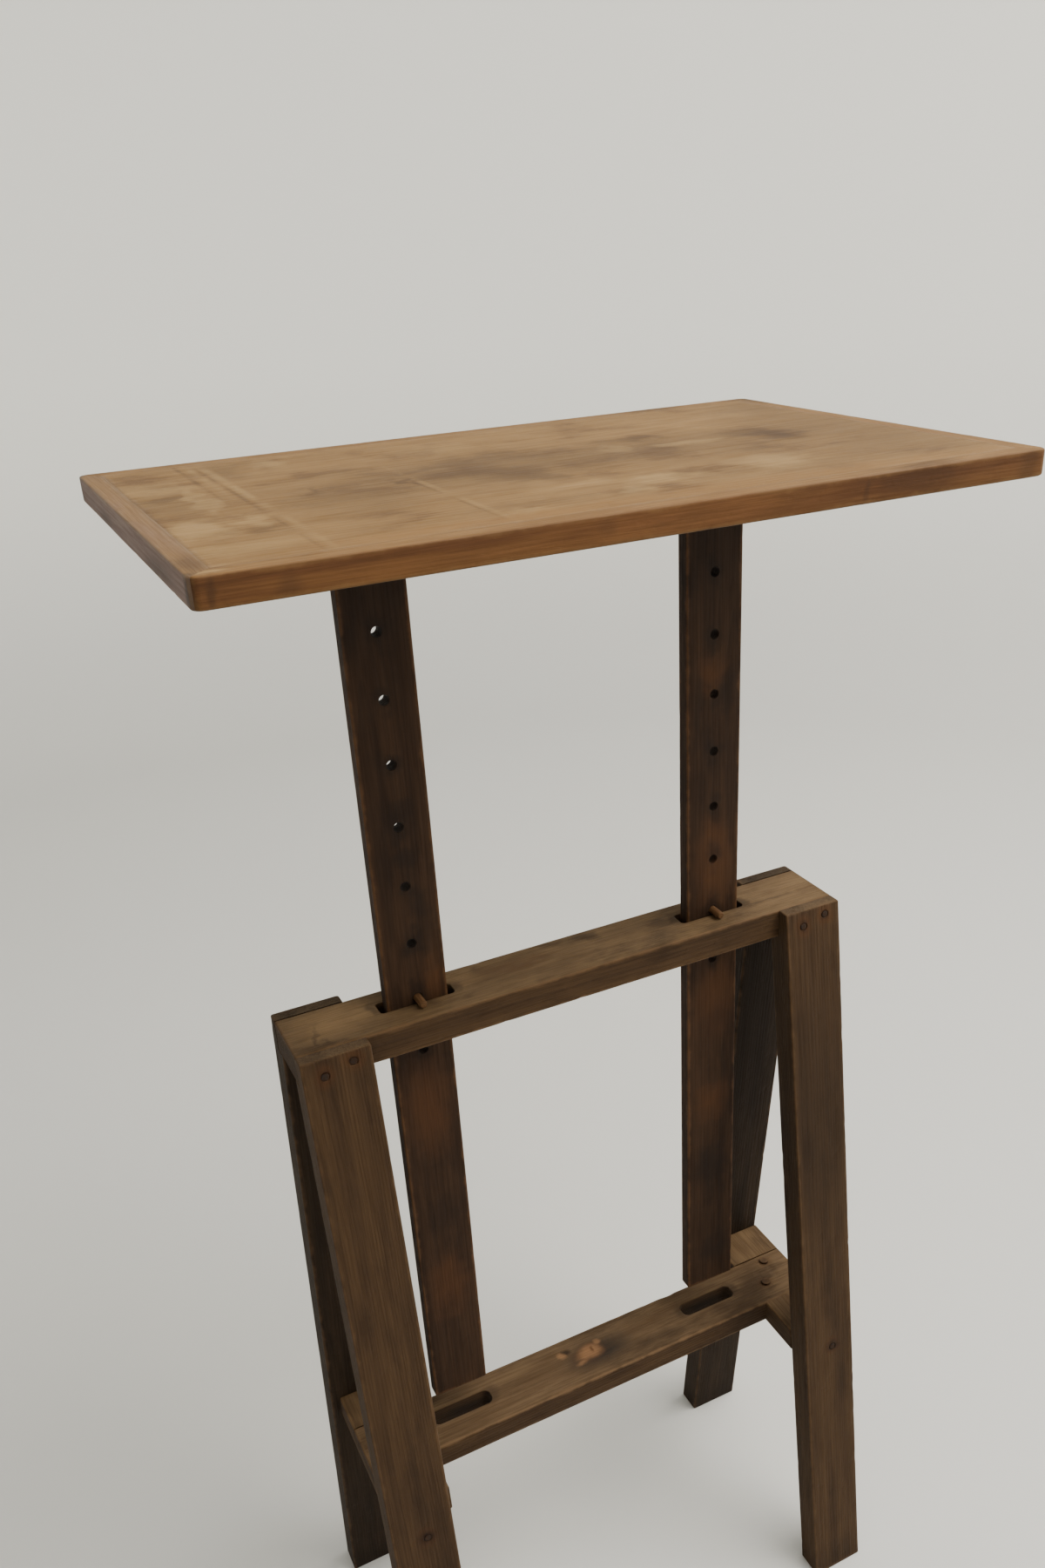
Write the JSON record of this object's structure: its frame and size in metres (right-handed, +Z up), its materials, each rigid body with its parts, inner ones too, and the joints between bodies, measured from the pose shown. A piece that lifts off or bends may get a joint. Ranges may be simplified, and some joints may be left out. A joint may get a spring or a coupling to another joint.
{
  "type": "height-adjustable artist's work stand",
  "caption": "Wooden artist's work stand: a flat table top on two bored posts that slide through a nailed trestle and are held at a chosen height by pegs.",
  "frame": {"origin": "on the floor, below the middle of the table top", "axes": "+X along the table top's length, +Y from its front to its back, +Z up"},
  "size_m": [0.7, 0.444, 1.406],
  "materials": {
    "trestle_wood": "worn, bare, greyed with age",
    "post_wood": "dark stained, worn",
    "panel_wood": "worn old varnish",
    "lipping_wood": "worn varnish, handled edges",
    "peg_wood": "bare dowel",
    "bearer_wood": "bare, aged",
    "nail_iron": "rusty",
    "screw_steel": "dull, tarnished"
  },
  "bodies": {
    "trestle": {"leg_front_left": "trestle_wood", "leg_front_right": "trestle_wood", "leg_rear_left": "trestle_wood", "leg_rear_right": "trestle_wood", "cross_rail_left": "trestle_wood", "cross_rail_right": "trestle_wood", "beam": "trestle_wood", "lower_rail": "trestle_wood", "nail_beam_front_left_1": "nail_iron", "nail_beam_front_left_2": "nail_iron", "nail_beam_front_right_1": "nail_iron", "nail_beam_front_right_2": "nail_iron", "nail_beam_rear_left_1": "nail_iron", "nail_beam_rear_left_2": "nail_iron", "nail_beam_rear_right_1": "nail_iron", "nail_beam_rear_right_2": "nail_iron", "nail_rail_front_left": "nail_iron", "nail_rail_front_right": "nail_iron", "nail_rail_rear_left": "nail_iron", "nail_rail_rear_right": "nail_iron", "nail_lap_left_1": "nail_iron", "nail_lap_left_2": "nail_iron", "nail_lap_right_1": "nail_iron", "nail_lap_right_2": "nail_iron"},
    "top": {"post_left": "post_wood", "post_right": "post_wood", "bearer_front": "bearer_wood", "bearer_rear": "bearer_wood", "screw_post_left_1": "screw_steel", "screw_post_left_2": "screw_steel", "screw_post_right_1": "screw_steel", "screw_post_right_2": "screw_steel", "screw_panel_front_left": "screw_steel", "screw_panel_front_right": "screw_steel", "screw_panel_rear_left": "screw_steel", "screw_panel_rear_right": "screw_steel", "top_panel": "panel_wood", "lipping_front": "lipping_wood", "lipping_right": "lipping_wood", "lipping_back": "lipping_wood", "lipping_left": "lipping_wood"},
    "peg_left": {"peg_left": "peg_wood"},
    "peg_right": {"peg_right": "peg_wood"}
  },
  "joints": [
    {"name": "height", "type": "slide", "parent": "trestle", "child": "top", "axis": [0, 0, 1], "range_m": [0, 0.46]},
    {"name": "peg_left_pull", "type": "slide", "parent": "top", "child": "peg_left", "axis": [0, -1, 0], "range_m": [0, 0.036]},
    {"name": "peg_right_pull", "type": "slide", "parent": "top", "child": "peg_right", "axis": [0, -1, 0], "range_m": [0, 0.036]}
  ]
}
